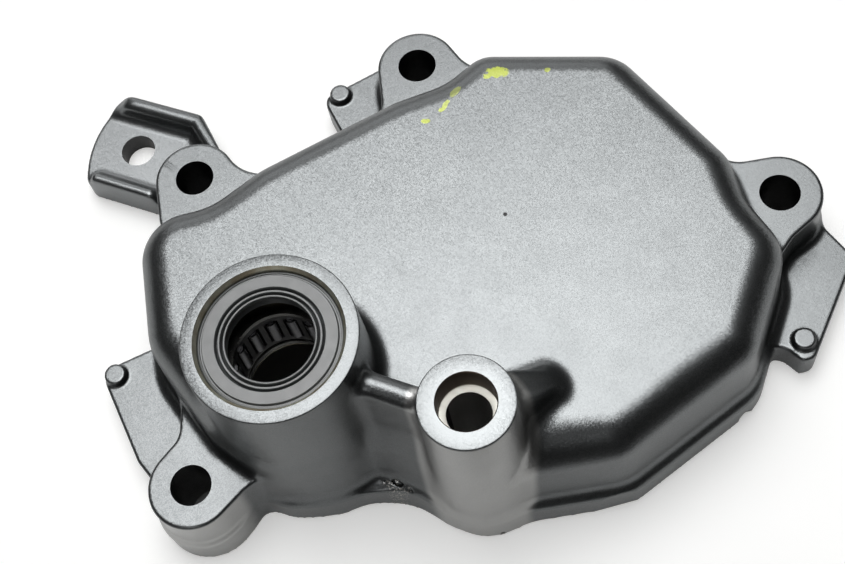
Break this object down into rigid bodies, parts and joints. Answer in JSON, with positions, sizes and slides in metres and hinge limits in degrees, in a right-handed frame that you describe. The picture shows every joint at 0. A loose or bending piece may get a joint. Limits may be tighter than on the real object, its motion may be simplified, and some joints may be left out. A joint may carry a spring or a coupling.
{
  "type": "engine side cover",
  "caption": "Cast motorcycle engine side cover with bolt lugs, bracket ear, shaft seal and needle roller bearing.",
  "frame": {"origin": "where the shaft axis meets the gasket face", "axes": "+Z out of the engine along the shaft axis, +X towards the right lug, +Y towards the rear lug, away from the tall boss"},
  "size_m": [0.1289, 0.1002, 0.0413],
  "materials": {
    "painted_casting": "satin metallic graphite paint over cast aluminium, with fine speckle",
    "seal_rubber": "satin black rubber",
    "spring_steel": "bright spring wire",
    "cup_steel": "oiled hardened steel",
    "cage_steel": "dark oiled pressed steel",
    "roller_steel": "ground and polished bearing steel"
  },
  "bodies": {
    "cover": {"cover_casting": "painted_casting", "oil_seal": "seal_rubber", "garter_spring": "spring_steel", "bearing_cup": "cup_steel"},
    "cage": {"bearing_cage": "cage_steel"},
    "roller_01": {"roller_01": "roller_steel"},
    "roller_02": {"roller_02": "roller_steel"},
    "roller_03": {"roller_03": "roller_steel"},
    "roller_04": {"roller_04": "roller_steel"},
    "roller_05": {"roller_05": "roller_steel"},
    "roller_06": {"roller_06": "roller_steel"},
    "roller_07": {"roller_07": "roller_steel"},
    "roller_08": {"roller_08": "roller_steel"},
    "roller_09": {"roller_09": "roller_steel"},
    "roller_10": {"roller_10": "roller_steel"},
    "roller_11": {"roller_11": "roller_steel"},
    "roller_12": {"roller_12": "roller_steel"},
    "roller_13": {"roller_13": "roller_steel"},
    "roller_14": {"roller_14": "roller_steel"},
    "roller_15": {"roller_15": "roller_steel"}
  },
  "joints": [
    {"name": "cage_spin", "type": "hinge", "parent": "cover", "child": "cage", "pos_m": [0, 0, 0.0269], "axis": [0, 0, 1], "continuous": true},
    {"name": "roller_01_spin", "type": "hinge", "parent": "cage", "child": "roller_01", "pos_m": [0.008, 0, 0.0269], "axis": [0, 0, 1], "continuous": true},
    {"name": "roller_02_spin", "type": "hinge", "parent": "cage", "child": "roller_02", "pos_m": [0.00731, 0.00325, 0.0269], "axis": [0, 0, 1], "continuous": true},
    {"name": "roller_03_spin", "type": "hinge", "parent": "cage", "child": "roller_03", "pos_m": [0.00535, 0.00595, 0.0269], "axis": [0, 0, 1], "continuous": true},
    {"name": "roller_04_spin", "type": "hinge", "parent": "cage", "child": "roller_04", "pos_m": [0.00247, 0.00761, 0.0269], "axis": [0, 0, 1], "continuous": true},
    {"name": "roller_05_spin", "type": "hinge", "parent": "cage", "child": "roller_05", "pos_m": [-0.00084, 0.00796, 0.0269], "axis": [0, 0, 1], "continuous": true},
    {"name": "roller_06_spin", "type": "hinge", "parent": "cage", "child": "roller_06", "pos_m": [-0.004, 0.00693, 0.0269], "axis": [0, 0, 1], "continuous": true},
    {"name": "roller_07_spin", "type": "hinge", "parent": "cage", "child": "roller_07", "pos_m": [-0.00647, 0.0047, 0.0269], "axis": [0, 0, 1], "continuous": true},
    {"name": "roller_08_spin", "type": "hinge", "parent": "cage", "child": "roller_08", "pos_m": [-0.00783, 0.00166, 0.0269], "axis": [0, 0, 1], "continuous": true},
    {"name": "roller_09_spin", "type": "hinge", "parent": "cage", "child": "roller_09", "pos_m": [-0.00783, -0.00166, 0.0269], "axis": [0, 0, 1], "continuous": true},
    {"name": "roller_10_spin", "type": "hinge", "parent": "cage", "child": "roller_10", "pos_m": [-0.00647, -0.0047, 0.0269], "axis": [0, 0, 1], "continuous": true},
    {"name": "roller_11_spin", "type": "hinge", "parent": "cage", "child": "roller_11", "pos_m": [-0.004, -0.00693, 0.0269], "axis": [0, 0, 1], "continuous": true},
    {"name": "roller_12_spin", "type": "hinge", "parent": "cage", "child": "roller_12", "pos_m": [-0.00084, -0.00796, 0.0269], "axis": [0, 0, 1], "continuous": true},
    {"name": "roller_13_spin", "type": "hinge", "parent": "cage", "child": "roller_13", "pos_m": [0.00247, -0.00761, 0.0269], "axis": [0, 0, 1], "continuous": true},
    {"name": "roller_14_spin", "type": "hinge", "parent": "cage", "child": "roller_14", "pos_m": [0.00535, -0.00595, 0.0269], "axis": [0, 0, 1], "continuous": true},
    {"name": "roller_15_spin", "type": "hinge", "parent": "cage", "child": "roller_15", "pos_m": [0.00731, -0.00325, 0.0269], "axis": [0, 0, 1], "continuous": true}
  ],
  "couplings": [
    {"joint": "roller_01_spin", "follows": "cage_spin", "ratio": -9},
    {"joint": "roller_02_spin", "follows": "cage_spin", "ratio": -9},
    {"joint": "roller_03_spin", "follows": "cage_spin", "ratio": -9},
    {"joint": "roller_04_spin", "follows": "cage_spin", "ratio": -9},
    {"joint": "roller_05_spin", "follows": "cage_spin", "ratio": -9},
    {"joint": "roller_06_spin", "follows": "cage_spin", "ratio": -9},
    {"joint": "roller_07_spin", "follows": "cage_spin", "ratio": -9},
    {"joint": "roller_08_spin", "follows": "cage_spin", "ratio": -9},
    {"joint": "roller_09_spin", "follows": "cage_spin", "ratio": -9},
    {"joint": "roller_10_spin", "follows": "cage_spin", "ratio": -9},
    {"joint": "roller_11_spin", "follows": "cage_spin", "ratio": -9},
    {"joint": "roller_12_spin", "follows": "cage_spin", "ratio": -9},
    {"joint": "roller_13_spin", "follows": "cage_spin", "ratio": -9},
    {"joint": "roller_14_spin", "follows": "cage_spin", "ratio": -9},
    {"joint": "roller_15_spin", "follows": "cage_spin", "ratio": -9}
  ]
}
